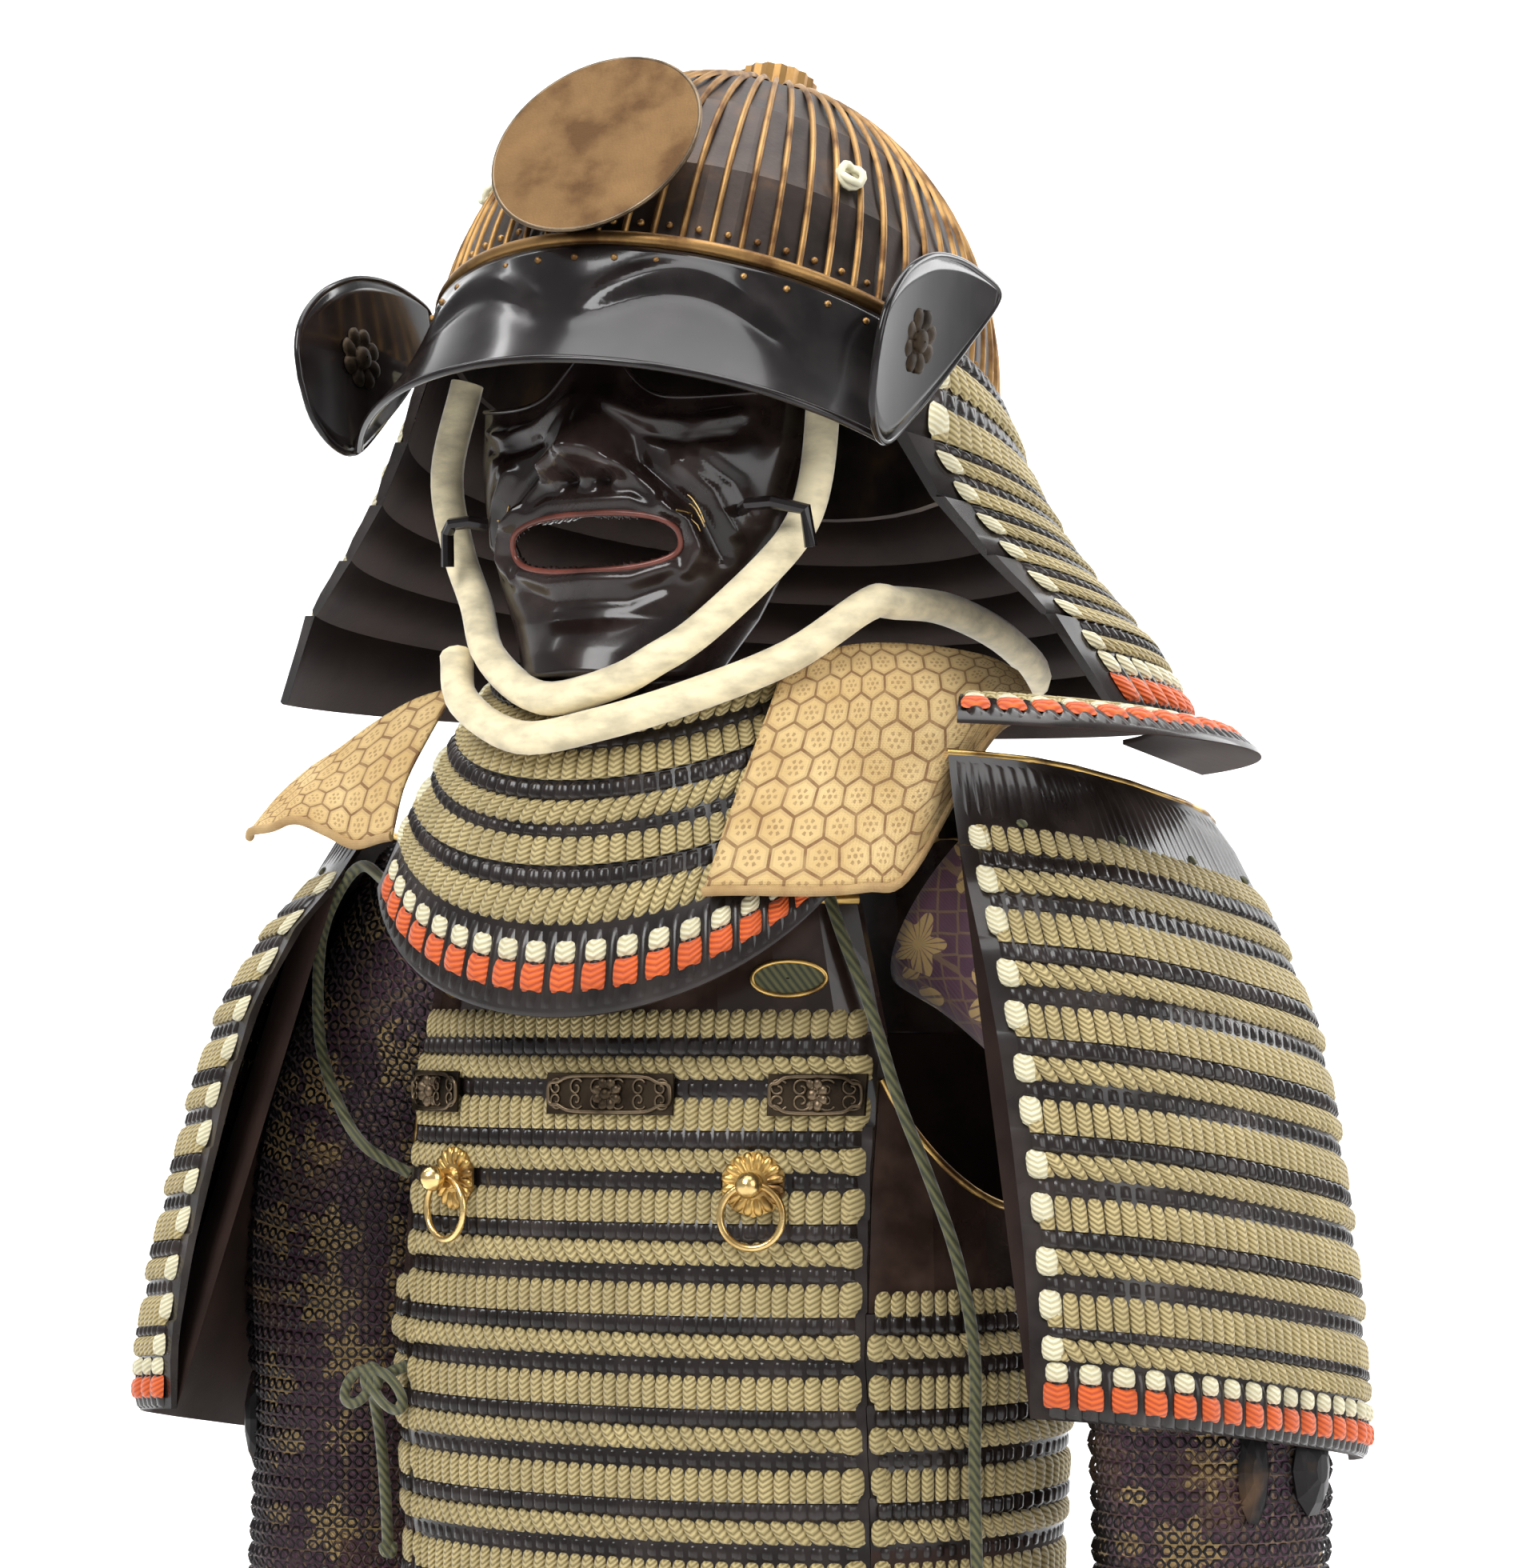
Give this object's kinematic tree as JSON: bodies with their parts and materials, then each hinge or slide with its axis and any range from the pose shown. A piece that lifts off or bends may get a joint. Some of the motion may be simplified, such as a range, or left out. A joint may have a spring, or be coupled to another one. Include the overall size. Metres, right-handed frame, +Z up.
{
  "type": "samurai armour",
  "caption": "Samurai armour with laced cuirass, ridged helmet, open-mouthed half mask, throat guard, curved shoulder guards, mailed sleeves and skirt panels.",
  "frame": {"origin": "between the shoulder straps at the base of the neck, where the armour hangs on its wearer", "axes": "+Z up, the wearer faces -Y and the wearer's left side is +X"},
  "size_m": [0.5499, 0.353, 0.95],
  "materials": {
    "russet_iron": "blackened and russet iron with dull gold ridges",
    "black_lacquer": "glossy black-brown lacquer on iron and leather",
    "gilt": "worn gilt copper",
    "bronze": "aged golden-brown metal",
    "laced_lames": "khaki silk braid over ribbed black lacquered lames",
    "brocade": "purple silk with gold pattern under iron mail",
    "cream_cord": "cream padded cloth cord",
    "olive_braid": "olive silk braid",
    "printed_cloth": "ochre hemp cloth printed with hexagons"
  },
  "bodies": {
    "armour": {"helmet_bowl": "russet_iron", "arm_gourd_left": "russet_iron", "arm_gourd_right": "russet_iron", "arm_shell_left": "russet_iron", "arm_shell_right": "russet_iron", "visor": "black_lacquer", "turnback_left": "black_lacquer", "turnback_right": "black_lacquer", "crest_bracket": "black_lacquer", "mask": "black_lacquer", "mask_hook_left": "black_lacquer", "mask_hook_right": "black_lacquer", "breast_plate": "black_lacquer", "back_plate": "black_lacquer", "side_guard_left": "black_lacquer", "side_guard_right": "black_lacquer", "shoulder_strap_left": "black_lacquer", "shoulder_strap_right": "black_lacquer", "guard_top_plate_left": "black_lacquer", "guard_top_plate_right": "black_lacquer", "helmet_top_ring": "gilt", "rosette_left": "gilt", "rosette_right": "gilt", "crest_disc": "bronze", "breast_fitting_left": "bronze", "breast_fitting_middle": "bronze", "breast_fitting_right": "bronze", "neck_lame_1": "laced_lames", "neck_lame_2": "laced_lames", "neck_lame_3": "laced_lames", "neck_lame_4": "laced_lames", "neck_lame_5": "laced_lames", "throat_lame_1": "laced_lames", "throat_lame_2": "laced_lames", "throat_lame_3": "laced_lames", "cuirass_front": "laced_lames", "cuirass_back": "laced_lames", "cuirass_side_left": "laced_lames", "cuirass_side_right": "laced_lames", "shoulder_guard_left": "laced_lames", "shoulder_guard_right": "laced_lames", "shoulder_flap_left": "laced_lames", "tasset_1": "laced_lames", "tasset_2": "laced_lames", "tasset_3": "laced_lames", "tasset_4": "laced_lames", "tasset_5": "laced_lames", "tasset_6": "laced_lames", "tasset_7": "laced_lames", "sleeve_left": "brocade", "sleeve_right": "brocade", "helmet_cord": "cream_cord", "neck_cord": "cream_cord", "waist_cord": "olive_braid", "side_cord": "olive_braid", "arm_cord_right": "olive_braid", "collar_cloth_left": "printed_cloth", "collar_cloth_right": "printed_cloth"},
    "ring_left": {"ring_left": "gilt"},
    "ring_right": {"ring_right": "gilt"}
  },
  "joints": [
    {"name": "ring_left_swing", "type": "hinge", "parent": "armour", "child": "ring_left", "pos_m": [0.07391, -0.10058, -0.16], "axis": [-0.9397, -0.342, 0], "range_deg": [0, 60]},
    {"name": "ring_right_swing", "type": "hinge", "parent": "armour", "child": "ring_right", "pos_m": [-0.07391, -0.10058, -0.16], "axis": [-0.9397, 0.342, 0], "range_deg": [0, 60]}
  ]
}
